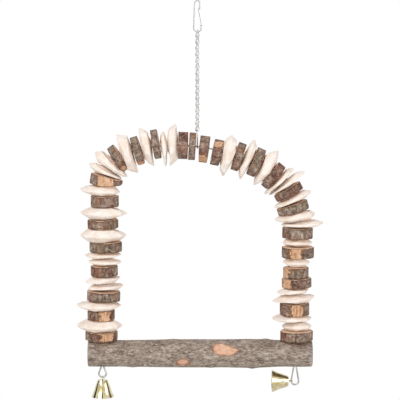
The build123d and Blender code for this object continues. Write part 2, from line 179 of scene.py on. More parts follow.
# Perch, in millimetres; its bark has lumps, cracks and grit of these depths
PERCH_STEPS = 420
PERCH_TURNS = 200
PERCH_INSET = 0.02
PERCH_END_SHARES = (0.96, 0.8, 0.6, 0.4, 0.2, 0.05)
PERCH_BARK = (0.4, 0.28, 0.12)
PERCH_STRETCH = (0.2, 1, 1)
# Buds as place along the perch, turn in degrees and rise
PERCH_BUDS = ((61, 82, 0.8), (49, 262, 0.8), (-58, 262, 0.5), (-22, 82, 0.4), (12, 262, 0.4))
PERCH_BUD_LENGTH = 3.5
PERCH_BUD_TURN = math.radians(24)
# Twig scars
PERCH_CHORD = 0.2
PERCH_SCAR_DEPTH = 1.6
PERCH_SCAR_LENGTH = 16
PERCH_SCAR_TURN = math.radians(55)
PERCH_SCAR_WAY = (0.6, 0.8)
PERCH_SCAR_CHORD = 0.58
PERCH_SCAR_FADE = 0.12
PERCH_SCAR_WOBBLE = 0.1
PERCH_SCAR_WAVE = 3
PERCH_SCAR_SMOOTH = 0.7
# Drilled holes
PERCH_HOLE_REACH = 3.4
PERCH_HOLE_MARGIN = 0.7
PERCH_HOLE_EDGE = 0.4
# How deep the holes' walls count for the painted shade that darkens the bark round each hole's mouth
PERCH_HOLE_SHADE = 0.5


# Materials
def colour(text):
    """A linear colour from an sRGB hex value."""
    parts = [int(text[k:k + 2], 16) / 255 for k in (1, 3, 5)]
    return [c / 12.92 if c <= 0.04045 else ((c + 0.055) / 1.055) ** 2.4 for c in parts] + [1]


def add(tree, kind, inputs=None, stops=None, **settings):
    """A shader node with its settings. Each input takes a value, an output or a node's live output."""
    node = tree.nodes.new("ShaderNode" + kind)
    for key, value in settings.items():
        setattr(node, key, value)
    for key, value in (inputs or {}).items():
        if isinstance(value, bpy.types.Node):
            value = next(socket for socket in value.outputs if socket.enabled)
        if isinstance(value, bpy.types.NodeSocket):
            tree.links.new(value, node.inputs[key])
        else:
            node.inputs[key].default_value = value
    if stops:
        ramp = node.color_ramp
        while len(ramp.elements) < len(stops):
            ramp.elements.new(1)
        for element, (place, shade) in zip(ramp.elements, stops):
            element.position = place
            element.color = colour(shade)
    return node


def blank(name):
    """A new material with an empty node tree."""
    material = bpy.data.materials.new(name)
    material.use_nodes = True
    material.node_tree.nodes.clear()
    return material, material.node_tree


def surface(tree, inputs):
    """Joins a shader with these inputs to the material's output."""
    shader = add(tree, "BsdfPrincipled", inputs)
    add(tree, "OutputMaterial", {"Surface": shader})


def branch_bark():
    """Fruit-tree bark left on the branch: dull mottled grey-brown, streaked and cracked along the branch.
    Where an axe cut through it, bare orange-tan sapwood shows inside a thin line of dark inner bark."""
    material, tree = blank("fruit_tree_bark")
    grain = add(tree, "Attribute", attribute_name="grain").outputs["Vector"]
    relief = add(tree, "Attribute", attribute_name="relief").outputs["Fac"]
    cut = add(tree, "Attribute", attribute_name="cut").outputs["Fac"]
    edge = add(tree, "Attribute", attribute_name="edge").outputs["Fac"]
    along = add(tree, "Mapping", {"Vector": grain, "Scale": (1, 1, 0.4)})
    # Streaks about 2.2 mm wide, patches of 3.5 mm, specks of 0.6 mm and a slow change from bead to bead
    streak = add(tree, "TexNoise", {
        "Vector": along, "Scale": 1 / 2.2, "Detail": 5, "Roughness": 0.7, "Distortion": 0.7})
    patch = add(tree, "TexNoise", {"Vector": grain, "Scale": 1 / 3.5, "Detail": 4, "Distortion": 0.9})
    speck = add(tree, "TexNoise", {"Vector": grain, "Scale": 1 / 0.6, "Detail": 2})
    slow = add(tree, "TexNoise", {"Vector": grain, "Scale": 1 / 24, "Detail": 2})
    tone = add(tree, "ValToRGB", {"Fac": streak}, (
        (0.38, "#463931"), (0.46, "#7A6A61"), (0.54, "#A2938A"), (0.63, "#CFC4B9")))
    lichen = add(tree, "ValToRGB", {"Fac": patch}, (
        (0.38, "#57433A"), (0.46, "#8A756B"), (0.54, "#A5968C"), (0.63, "#CABFB2")))
    warm = add(tree, "ValToRGB", {"Fac": slow}, (
        (0.38, "#D9B6AB"), (0.47, "#F4E6DC"), (0.55, "#FFFBF6"), (0.63, "#E3E0D2")))
    base = add(tree, "Mix", {0: 0.5, 6: tone, 7: lichen}, data_type="RGBA")
    base = add(tree, "Mix", {0: 1, 6: base, 7: warm}, data_type="RGBA", blend_type="MULTIPLY")
    # Rusty stains about 7 mm wide where the outer bark has rubbed off
    rust = add(tree, "TexNoise", {"Vector": along, "Scale": 1 / 7, "Detail": 4, "Distortion": 0.6})
    stain = add(tree, "MapRange", {
        "Value": rust, "From Min": 0.56, "From Max": 0.66, "To Min": 0, "To Max": 0.6})
    base = add(tree, "Mix", {0: stain, 6: base, 7: colour("#8F6046")}, data_type="RGBA")
    # Painted shade: the bark is darker where it lies deep, in its cracks and on the low sides of its lumps
    recess_shade = add(tree, "ValToRGB", {"Fac": relief}, (
        (0.25, "#FFFFFF"), (0.55, "#D0C4BC"), (0.9, "#5A4638")))
    base = add(tree, "Mix", {0: 0.85, 6: base, 7: recess_shade}, data_type="RGBA", blend_type="MULTIPLY")
    # The sawn edge of the bark is dark brown for up to a millimetre, unevenly
    ragged = add(tree, "Math", {0: patch, 1: edge}, operation="MULTIPLY")
    rind = add(tree, "MapRange", {
        "Value": ragged, "From Min": 0.05, "From Max": 0.4, "To Min": 0.6, "To Max": 0})
    base = add(tree, "Mix", {0: rind, 6: base, 7: colour("#5B3D2C")}, data_type="RGBA")
    # Sapwood under the axe cut, its fibres about 0.7 mm wide along the branch, with bruised places
    fibre = add(tree, "Mapping", {"Vector": grain, "Scale": (1, 1, 0.08)})
    fibres = add(tree, "TexNoise", {"Vector": fibre, "Scale": 1 / 0.7, "Detail": 4, "Distortion": 0.4})
    wood = add(tree, "ValToRGB", {"Fac": fibres}, (
        (0.32, "#A37049"), (0.45, "#CDA07C"), (0.58, "#DDB697"), (0.72, "#EACCB3")))
    bruise = add(tree, "MapRange", {
        "Value": patch, "From Min": 0.56, "From Max": 0.7, "To Min": 0, "To Max": 0.55})
    wood = add(tree, "Mix", {0: bruise, 6: wood, 7: colour("#A0683F")}, data_type="RGBA")
    # The cut's edge wanders by about 2 mm
    opened = add(tree, "Math", {0: patch, 1: 1.5, 2: cut}, operation="MULTIPLY_ADD")
    inner = add(tree, "MapRange", {"Value": opened, "From Min": 1.1, "From Max": 1.22})
    bare = add(tree, "MapRange", {"Value": opened, "From Min": 1.22, "From Max": 1.42})
    base = add(tree, "Mix", {0: inner, 6: base, 7: colour("#6B4027")}, data_type="RGBA")
    base = add(tree, "Mix", {0: bare, 6: base, 7: wood}, data_type="RGBA")
    bump = add(tree, "Bump", {"Height": speck, "Strength": 0.5, "Distance": 0.25 * MM})
    surface(tree, {"Base Color": base, "Roughness": 0.85, "Normal": bump, "Specular IOR Level": 0.3})
    return material


def sawn_branch():
    """End grain of the same branch, cross-cut with a saw: pinkish tan with growth rings and a dark rind."""
    material, tree = blank("sawn_fruit_wood")
    grain = add(tree, "Attribute", attribute_name="grain").outputs["Vector"]
    edge = add(tree, "Attribute", attribute_name="edge").outputs["Fac"]
    flat = add(tree, "Mapping", {"Vector": grain, "Scale": (1, 1, 0)})
    # Growth rings about 3 mm apart, pores of 0.8 mm
    rings = add(tree, "TexWave", {
        "Vector": flat, "Scale": 1 / 10, "Distortion": 1.6, "Detail": 2, "Detail Scale": 0.3},
        wave_type="RINGS", rings_direction="Z")
    pores = add(tree, "TexNoise", {"Vector": grain, "Scale": 1 / 0.8, "Detail": 4})
    tone = add(tree, "ValToRGB", {"Fac": rings.outputs["Fac"]}, (
        (0, "#D6B095"), (0.5, "#E4C4A9"), (1, "#EDD4BE")))
    mottle = add(tree, "ValToRGB", {"Fac": pores}, (
        (0.3, "#C9A080"), (0.55, "#E5C6AC"), (0.75, "#F0DCC8")))
    base = add(tree, "Mix", {0: 0.45, 6: tone, 7: mottle}, data_type="RGBA")
    rind = add(tree, "MapRange", {"Value": edge, "From Min": 0.4, "From Max": 0.9, "To Min": 1, "To Max": 0})
    base = add(tree, "Mix", {0: rind, 6: base, 7: colour("#6B5346")}, data_type="RGBA")
    bump = add(tree, "Bump", {"Height": pores, "Strength": 0.4, "Distance": 0.2 * MM})
    surface(tree, {"Base Color": base, "Roughness": 0.75, "Normal": bump})
    return material


def hewn_chip_wood():
    """Peeled white poplar split with a blade: almost white, matt, with cream bands and a few tan fibres."""
    material, tree = blank("hewn_white_poplar")
    grain = add(tree, "Attribute", attribute_name="grain").outputs["Vector"]
    relief = add(tree, "Attribute", attribute_name="relief").outputs["Fac"]
    along = add(tree, "Mapping", {"Vector": grain, "Scale": (0.07, 1, 1)})
    # Fibre lines about 0.9 mm apart and cream bands of 12 mm
    fibres = add(tree, "TexNoise", {"Vector": along, "Scale": 1 / 0.9, "Detail": 4, "Distortion": 0.5})
    bands = add(tree, "TexNoise", {"Vector": grain, "Scale": 1 / 12, "Detail": 2, "Distortion": 0.8})
    tone = add(tree, "ValToRGB", {"Fac": bands}, (
        (0.36, "#F2E1D2"), (0.46, "#F7EAE0"), (0.56, "#FAF0E8"), (0.68, "#F4E5DA")))
    lines = add(tree, "ValToRGB", {"Fac": fibres}, (
        (0.26, "#E8D2BC"), (0.36, "#FAF2EA"), (0.46, "#FFFFFF")))
    base = add(tree, "Mix", {0: 0.45, 6: tone, 7: lines}, data_type="RGBA", blend_type="MULTIPLY")
    # Painted shade: a tan tint where the fibre grooves lie deep
    hollow = add(tree, "MapRange", {
        "Value": relief, "From Min": 0.5, "From Max": 1, "To Min": 0, "To Max": 0.3})
    base = add(tree, "Mix", {0: hollow, 6: base, 7: colour("#E2C5A6")}, data_type="RGBA")
    bump = add(tree, "Bump", {"Height": fibres, "Strength": 0.35, "Distance": 0.25 * MM})
    surface(tree, {"Base Color": base, "Roughness": 0.65, "Normal": bump, "Specular IOR Level": 0.3})
    return material


def perch_bark():
    """Thin smooth bark on the perch: matt grey-brown, finely dashed along it, with rubbed places.
    Twig scars show bare salmon-tan wood, darker towards a brown ring."""
    material, tree = blank("smooth_branch_bark")
    grain = add(tree, "Attribute", attribute_name="grain").outputs["Vector"]
    relief = add(tree, "Attribute", attribute_name="relief").outputs["Fac"]
    scar = add(tree, "Attribute", attribute_name="cut").outputs["Fac"]
    along = add(tree, "Mapping", {"Vector": grain, "Scale": (0.42, 1, 1)})
    # Dashes about 1.5 mm wide, patches of 5 mm, specks of 0.8 mm and a few pale flecks of 3 mm
    streak = add(tree, "TexNoise", {
        "Vector": along, "Scale": 1 / 1.5, "Detail": 5, "Roughness": 0.75, "Distortion": 0.5})
    patch = add(tree, "TexNoise", {"Vector": along, "Scale": 1 / 5, "Detail": 4, "Distortion": 0.6})
    speck = add(tree, "TexNoise", {"Vector": grain, "Scale": 1 / 0.8, "Detail": 3})
    fleck = add(tree, "TexNoise", {"Vector": grain, "Scale": 1 / 3, "Detail": 1})
    tone = add(tree, "ValToRGB", {"Fac": streak}, (
        (0.38, "#4E3F37"), (0.46, "#85756A"), (0.54, "#A8998D"), (0.63, "#D3C7BB")))
    rubbed = add(tree, "ValToRGB", {"Fac": patch}, (
        (0.38, "#69574F"), (0.46, "#8C7C73"), (0.54, "#A29487"), (0.63, "#B9AD9D")))
    base = add(tree, "Mix", {0: 0.35, 6: tone, 7: rubbed}, data_type="RGBA")
    # Painted shade: the bark is darker where it lies deep, in its cracks, on the low sides of its lumps and
    # round the drilled holes
    recess_shade = add(tree, "ValToRGB", {"Fac": relief}, (
        (0.3, "#FFFFFF"), (0.6, "#D8CEC6"), (0.95, "#7A665A")))
    base = add(tree, "Mix", {0: 0.8, 6: base, 7: recess_shade}, data_type="RGBA", blend_type="MULTIPLY")
    wood = add(tree, "ValToRGB", {"Fac": streak}, (
        (0.3, "#A36F4D"), (0.42, "#CFA286"), (0.6, "#E2BCA4")))
    pale = add(tree, "MapRange", {"Value": fleck, "From Min": 0.74, "From Max": 0.78})
    base = add(tree, "Mix", {0: pale, 6: base, 7: colour("#DDD0C3")}, data_type="RGBA")
    # The scar's edge is ragged, with a line of brown inner bark round the wood
    ragged = add(tree, "Math", {0: patch, 1: streak}, operation="ADD")
    healed = add(tree, "Math", {0: scar, 1: ragged}, operation="ADD")
    ring = add(tree, "MapRange", {"Value": healed, "From Min": 0.96, "From Max": 1.04})
    bare = add(tree, "MapRange", {"Value": healed, "From Min": 1.1, "From Max": 1.72})
    base = add(tree, "Mix", {0: ring, 6: base, 7: colour("#8F5733")}, data_type="RGBA")
    base = add(tree, "Mix", {0: bare, 6: base, 7: wood}, data_type="RGBA")
    bump = add(tree, "Bump", {"Height": speck, "Strength": 0.4, "Distance": 0.2 * MM})
    surface(tree, {"Base Color": base, "Roughness": 0.8, "Normal": bump, "Specular IOR Level": 0.35})
    return material


def metal(name, stops, cloud, marks, rough, strength):
    """Metal with soft clouds, as width in millimetres, detail and spread, and fine marks of a width in
    millimetres. Its roughness goes with the clouds."""
    material, tree = blank(name)
    place = add(tree, "TexCoord").outputs["Object"]
    width, detail, spread = cloud
    clouds = add(tree, "TexNoise", {"Vector": place, "Scale": 1 / (width * MM), "Detail": detail})
    scratches = add(tree, "TexNoise", {"Vector": place, "Scale": 1 / (marks * MM), "Detail": 2})
    base = add(tree, "ValToRGB", {"Fac": clouds}, stops)
    rough = add(tree, "MapRange", {
        "Value": clouds, "From Min": 0.3, "From Max": spread, "To Min": rough[0], "To Max": rough[1]})
    bump = add(tree, "Bump", {"Height": scratches, "Strength": strength, "Distance": 0.05 * MM})
    surface(tree, {"Base Color": base, "Metallic": 1, "Roughness": rough, "Normal": bump})
    return material


def plated_wire(name, bright, dull, roughness):
    """Plated steel wire: cool light grey metal, drawn smooth, a little cloudy where it was handled."""
    # Clouds about 3 mm wide, drawing marks of 0.2 mm
    stops = ((0.35, dull), (0.62, bright))
    return metal(name, stops, (3, 3, 0.7), 0.2, (roughness + 0.1, roughness - 0.06), 0.15)


def spun_brass():
    """Brass spun on a lathe and polished: pale warm yellow, mirror-like, with small dull tarnish."""
    # Tarnish patches about 4 mm wide, polishing marks of 0.3 mm
    stops = ((0.34, "#BBAA7C"), (0.5, "#D3C6A0"), (0.66, "#E2DAC0"))
    return metal("spun_brass", stops, (4, 4, 0.6), 0.3, (0.14, 0.06), 0.08)


# Shapes read from the CAD solids
def solids(node):
    """Each solid of a CAD node, as its points in millimetres and its triangles."""
    mesh = frame["nodes"][node].data
    points = np.empty(len(mesh.vertices) * 3)
    mesh.vertices.foreach_get("co", points)
    mesh.calc_loop_triangles()
    triangles = np.empty(len(mesh.loop_triangles) * 3, dtype=np.int64)
    mesh.loop_triangles.foreach_get("vertices", triangles)
    points = np.round(points.reshape(-1, 3) / MM, POINT_DIGITS)
    points, index = np.unique(points, axis=0, return_inverse=True)
    triangles = index.ravel()[triangles].reshape(-1, 3)
    label = np.arange(len(points))
    while True:
        lowest = label.copy()
        for k in range(3):
            np.minimum.at(lowest, triangles[:, k], label[triangles].min(axis=1))
        lowest = lowest[lowest]
        if (lowest == label).all():
            break
        label = lowest
    found = []
    for mark in np.unique(label):
        chosen = np.flatnonzero(label == mark)
        place = np.full(len(points), -1)
        place[chosen] = np.arange(len(chosen))
        found.append((points[chosen], place[triangles[label[triangles[:, 0]] == mark]]))
    return found


def joined(several):
    """Several solids as one set of points and triangles."""
    starts = np.cumsum([0] + [len(points) for points, _ in several])
    triangles = [triangles + start for (_, triangles), start in zip(several, starts)]
    return np.concatenate([points for points, _ in several]), np.concatenate(triangles)


def tree_of(points, triangles):
    """A search tree for rays against a solid."""
    return BVHTree.FromPolygons([Vector(p) for p in points], triangles.tolist())


def facets(points, triangles):
    """Unit normal and area of each triangle."""
    a, b, c = (points[triangles[:, k]] for k in range(3))
    cross = np.cross(b - a, c - a)
    length = np.linalg.norm(cross, axis=1)
    return cross / np.maximum(length, 1e-9)[:, None], length / 2


def largest_flat(normals, areas):
    """Mean normal and area of the largest set of facets that face one way."""
    _, index = np.unique(np.round(normals, NORMAL_DIGITS), axis=0, return_inverse=True)
    totals = np.bincount(index.ravel(), areas)
    best = totals.argmax()
    mean = (normals * areas[:, None])[index.ravel() == best].sum(axis=0)
    return mean / np.linalg.norm(mean), totals[best]


def bead_axes(points, wire):
    """Where a bead sits on the wire, with its outward, viewer and thread directions."""
    bore = np.array([p for p in points if wire.find_nearest(Vector(p), BORE_REACH)[0] is not None])
    middle = (bore.min(axis=0) + bore.max(axis=0)) / 2
    thread = np.linalg.svd(bore - bore.mean(axis=0))[2][0]
    thread[1] = 0
    thread /= np.linalg.norm(thread)
    outward = np.array((thread[2], 0, -thread[0]))
    if outward @ (middle - (ARCH_MIDDLE[0], 0, ARCH_MIDDLE[1])) < 0:
        thread, outward = -thread, -outward
    return middle, outward, np.array((0, -1, 0)), thread


def ray(tree, start, direction):
    """Where a ray first meets a solid, or nothing."""
    return tree.ray_cast(Vector(start), Vector(direction))[0]


def height(tree, x, y, side, spare):
    """Height of a solid's top (side 1) or underside (side -1) at a place."""
    place = ray(tree, (x, y, side * RAY_START), (0, 0, -side))
    return place.z if place else spare


def turns(count):
    """Evenly spaced angles round a ring."""
    return np.arange(count) * 2 * math.pi / count


def smoothed(values, times):
    """Values round a ring, each averaged with its neighbours a number of times."""
    for _ in range(times):
        values = (np.roll(values, 1, axis=-1) + 2 * values + np.roll(values, -1, axis=-1)) / 4
    return values


def bark_depth(place, stretch, depths):
    """How far bark lies below its highest points: soft lumps, cracks along the branch and grit."""
    lump, crack, grit = depths
    along = Vector((place[0] * stretch[0], place[1] * stretch[1], place[2] * stretch[2]))
    swell = 0.5 + 0.5 * noise.noise(along / BARK_LUMP_WIDTH)
    split = max(0, 1 - abs(noise.noise(along / BARK_CRACK_SPACING + CRACK_SHIFT)) / BARK_CRACK_WIDTH)
    often = noise.noise(along / BARK_CRACK_PATCH + CRACK_PATCH_SHIFT)
    split *= max(0, min(1, BARK_CRACK_MEAN + BARK_CRACK_CONTRAST * often))
    rough = 0.5 + 0.5 * noise.noise(Vector(place) / BARK_GRIT_WIDTH)
    return lump * swell + crack * split + grit * rough


# Meshes
def ring_mesh(rings, kinds):
    """Points and faces of a closed ring of rings, with the material index of the strip after each ring."""
    count = len(rings[0])
    faces = []
    marks = []
    for k in range(len(rings)):
        first = k * count
        second = (k + 1) % len(rings) * count
        for j in range(count):
            step = (j + 1) % count
            faces.append((first + j, second + j, second + step, first + step))
            marks.append(kinds[k])
    return np.concatenate(rings), faces, marks


def carved_piece(node, parts, materials, crease):
    """One object from several meshes in millimetres, in place of a CAD node and on its body. It is creased
    at an angle and carries the meshes' grain, relief, cut and edge."""
    points = []
    faces = []
    marks = []
    values = {"grain": [], "relief": [], "cut": [], "edge": []}
    for part in parts:
        base = sum(len(p) for p in points)
        faces += [tuple(base + v for v in face) for face in part["faces"]]
        marks += part["marks"]
        points.append(part["points"])
        for key, held in values.items():
            held.append(part[key])
    name = f"{node}.carved"
    mesh = bpy.data.meshes.new(name)
    mesh.from_pydata((np.concatenate(points) * MM).tolist(), [], faces)
    for key, held in values.items():
        held = np.concatenate(held).astype(np.float32)
        layer = mesh.attributes.new(key, "FLOAT_VECTOR" if held.ndim == 2 else "FLOAT", "POINT")
        layer.data.foreach_set("vector" if held.ndim == 2 else "value", held.ravel())
    for material in materials:
        mesh.materials.append(material)
    mesh.polygons.foreach_set("material_index", marks)
    mesh.polygons.foreach_set("use_smooth", [True] * len(faces))
    mesh.update()
    mesh.set_sharp_from_angle(angle=crease)
    piece = bpy.data.objects.new(name, mesh)
    bpy.context.scene.collection.objects.link(piece)
    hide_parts(node)
    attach(piece, frame["nodes"][node]["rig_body"])


# Branch slices
def slice_frame(points, triangles, wire):
    """A slice's middle, its axes square to the sawn faces, its points there and the axe cut on its rim."""
    middle, _, viewer, thread = bead_axes(points, wire)
    normals, areas = facets(points, triangles)
    facing = normals @ thread
    across = np.abs(facing) > FACE_TILT
    thread = largest_flat((normals * np.sign(facing)[:, None])[across], areas[across])[0]
    outward = np.cross(viewer, thread)
    outward /= np.linalg.norm(outward)
    axes = np.array((outward, np.cross(thread, outward), thread))
    local = (points - middle) @ axes.T
    around = np.abs(normals @ thread) < RIM_TILT
    normal, area = largest_flat((normals @ axes.T)[around], areas[around])
    if area < AXE_CUT_AREA:
        return middle, axes, local, None
    side = np.array((-normal[1], normal[0], 0))
    flat = local[local @ normal > (local @ normal).max() - FLAT_TOLERANCE] @ side
    cut = (normal, side, (flat.max() + flat.min()) / 2, (flat.max() - flat.min()) / 2)
    return middle, axes, local, cut


def cut_share(place, centre, cut):
    """How far a place on a slice's rim lies inside its axe cut: -1 on bark, 1 on bare wood."""
    if cut is None:
        return -1
    normal, side, middle, half = cut
    if (place - centre) @ normal < 0:
        return -1
    return min(1, max(-1, 0.5 + (half - abs(place @ side - middle)) / AXE_CUT_FADE))


def branch_slice(points, triangles, wire, number):
    """A slice of branch: sawn faces, a rim of cracked bark with worn corners, and a flat axe cut."""
    middle, axes, local, cut = slice_frame(points, triangles, wire)
    tree = tree_of(local, triangles)
    centre = (local.min(axis=0) + local.max(axis=0)) / 2
    hub = np.array((centre[0], centre[1], 0))
    angles = turns(SLICE_STEPS)
    tops, feet, rims, cuts = [], [], [], []
    for angle in angles:
        way = np.array((math.cos(angle), math.sin(angle), 0))
        start = hub + way * RAY_START
        reach = RAY_START - (Vector(start) - ray(tree, start, -way)).length
        rim = hub + way * reach
        near = rim - way * SLICE_INSET
        top = height(tree, near[0], near[1], 1, local[:, 2].max())
        foot = height(tree, near[0], near[1], -1, local[:, 2].min())
        # Splinters broken off the two sawn edges
        chipped = Vector((rim[0], rim[1], number * SLICE_BREAK_SHIFT)) / SLICE_BREAK_WIDTH
        top -= SLICE_BREAK * max(0, noise.noise(chipped))
        foot += SLICE_BREAK * max(0, noise.noise(chipped + SLICE_FOOT_SHIFT))
        spots = []
        for share in SLICE_FACE_SHARES:
            spot = way * BORE_RADIUS * (1 - share) + near * share
            spots.append((spot + way * BORE_CLEAR * (1 - share))[:2])
        tops.append([(x, y, height(tree, x, y, 1, top)) for x, y in spots] + [(near[0], near[1], top)])
        feet.append([(x, y, height(tree, x, y, -1, foot)) for x, y in spots] + [(near[0], near[1], foot)])
        column = []
        for k in range(SLICE_RIM_STEPS):
            share = k / (SLICE_RIM_STEPS - 1)
            level = (top - SLICE_EDGE) * (1 - share) + (foot + SLICE_EDGE) * share
            hit = ray(tree, start + (0, 0, level), -way)
            column.append(np.array(hit) if hit else rim + (0, 0, level))
        rims.append(column)
        cuts.append([cut_share(place, centre, cut) for place in column])
    tops, feet, rims = (np.array(columns).transpose(1, 0, 2) for columns in (tops, feet, rims))
    cuts = np.array(cuts).T
    relief = np.zeros(cuts.shape)
    for k in range(SLICE_RIM_STEPS):
        corner = abs(2 * k / (SLICE_RIM_STEPS - 1) - 1) ** SLICE_WEAR_POWER
        for j, angle in enumerate(angles):
            place = rims[k, j] + number * SLICE_SHIFT
            worn = SLICE_WEAR * max(0, noise.noise(Vector(place / SLICE_WEAR_WIDTH))) * corner
            bare = min(1, max(0, AXE_CUT_RISE * (cuts[k, j] - AXE_CUT_START)))
            depth = bark_depth(place, SLICE_STRETCH, SLICE_BARK) + worn
            depth *= 1 - AXE_CUT_SMOOTH * bare
            relief[k, j] = depth / sum(SLICE_BARK)
            rims[k, j] -= depth * np.array((math.cos(angle), math.sin(angle), 0))
    # The faces' outer rings follow the bark below them
    for ring, row in ((tops[-1], 0), (feet[-1], -1)):
        inset = rims[row, :, :2] - centre[:2]
        inset *= (1 - SLICE_EDGE / np.linalg.norm(inset, axis=1))[:, None]
        ring[:, :2] = centre[:2] + inset
    kinds = [1] * (len(tops) - 1) + [0] * (SLICE_RIM_STEPS + 1) + [1] * len(feet)
    mesh_points, faces, marks = ring_mesh(list(tops) + list(rims) + list(feet[::-1]), kinds)
    # How far each point lies from the nearer sawn edge, on the bark and on the faces
    rows = np.array([min(k, SLICE_RIM_STEPS - 1 - k) for k in range(SLICE_RIM_STEPS)])
    rim_edges = rows[:, None] * ((rims[0, :, 2] - rims[-1, :, 2]) / (SLICE_RIM_STEPS - 1))[None]
    rim_radius = np.linalg.norm(rims[0, :, :2] - centre[:2], axis=1)
    face_edges = rim_radius - np.linalg.norm(tops[:, :, :2] - centre[:2], axis=2)
    quiet = np.zeros(face_edges.size)
    return {
        "points": mesh_points @ axes + middle,
        "faces": faces,
        "marks": marks,
        "grain": mesh_points - hub + (0, 0, number * SLICE_GRAIN_SHIFT),
        "relief": np.concatenate((quiet, relief.ravel(), quiet)),
        "cut": np.concatenate((quiet, cuts.ravel(), quiet)),
        "edge": np.concatenate((face_edges.ravel(), rim_edges.ravel(), face_edges[::-1].ravel())),
    }


# Hewn chips
def chip_tips(tree, centre, angles):
    """How far a chip's sharp rim reaches from its middle at each angle, and how high it lies there."""
    hub = Vector((centre[0], centre[1], 0))
    tips = []
    for angle in angles:
        best = None
        for lift in CHIP_FAN:
            rise = math.radians(lift)
            flat = math.cos(rise)
            way = Vector((math.cos(angle) * flat, math.sin(angle) * flat, math.sin(rise)))
            place = ray(tree, hub + way * RAY_START, -way)
            if place is None:
                continue
            reach = math.hypot(place.x - centre[0], place.y - centre[1])
            if best is None or reach > best[0]:
                best = (reach, place.z)
        tips.append(best)
    return smoothed(np.array(tips).T, CHIP_SMOOTHING)


def chip_room(beside, triangles, places, tip, tops, feet, fixed):
    """How high and how low a chip's flats may swell towards the beads beside it."""
    if not fixed:
        # At every turn, because the chip spins
        levels = beside[np.hypot(beside[:, 0], beside[:, 1]) < CHIP_NEAR, 2]
        over = levels[levels > tops[0].mean() - CHIP_GAP].min(initial=RAY_START)
        under = levels[levels < feet[0].mean() + CHIP_GAP].max(initial=-RAY_START)
        return min(tops.max(), over - CHIP_GAP), max(feet.min(), under + CHIP_GAP)
    # A chip wedged on the bend fans out into the wider space on the outside of the arch
    around = tree_of(beside, triangles)
    rise = CHIP_FAN_RISE * np.clip(places[:, 0] / tip[0].max(), 0, 1)
    above, below = tops.max() + rise, feet.min() - rise
    for k in range(len(tops)):
        for j in range(CHIP_STEPS):
            x, y = places[k, :, j]
            hit = ray(around, (x, y, tops[k, j]), (0, 0, 1))
            above[k, j] = min(above[k, j], hit.z - CHIP_GAP) if hit else above[k, j]
            hit = ray(around, (x, y, feet[k, j]), (0, 0, -1))
            below[k, j] = max(below[k, j], hit.z + CHIP_GAP) if hit else below[k, j]
    return above, below


def struck(heights, shares, places, ways, spans, draw):
    """Heights of a chip's side after blade strokes, each of which leaves a flat that falls to the rim."""
    left = heights.copy()
    for stroke in range(CHIP_STROKES):
        turn = stroke + draw.uniform(-CHIP_STROKE_JITTER, CHIP_STROKE_JITTER)
        j = round(turn * CHIP_STEPS / CHIP_STROKES) % CHIP_STEPS
        k = np.searchsorted(shares, draw.uniform(*CHIP_STROKE_START))
        start = heights[k, j] - draw.uniform(*CHIP_STROKE_DEPTH)
        slope = max(0, start - heights[-1, j]) / ((CHIP_STROKE_END - shares[k]) * spans[j])
        away = places - places[k, :, j][None, :, None]
        onward = away[:, 0] * ways[0, j] + away[:, 1] * ways[1, j]
        left = np.minimum(left, start - slope * onward)
    return left


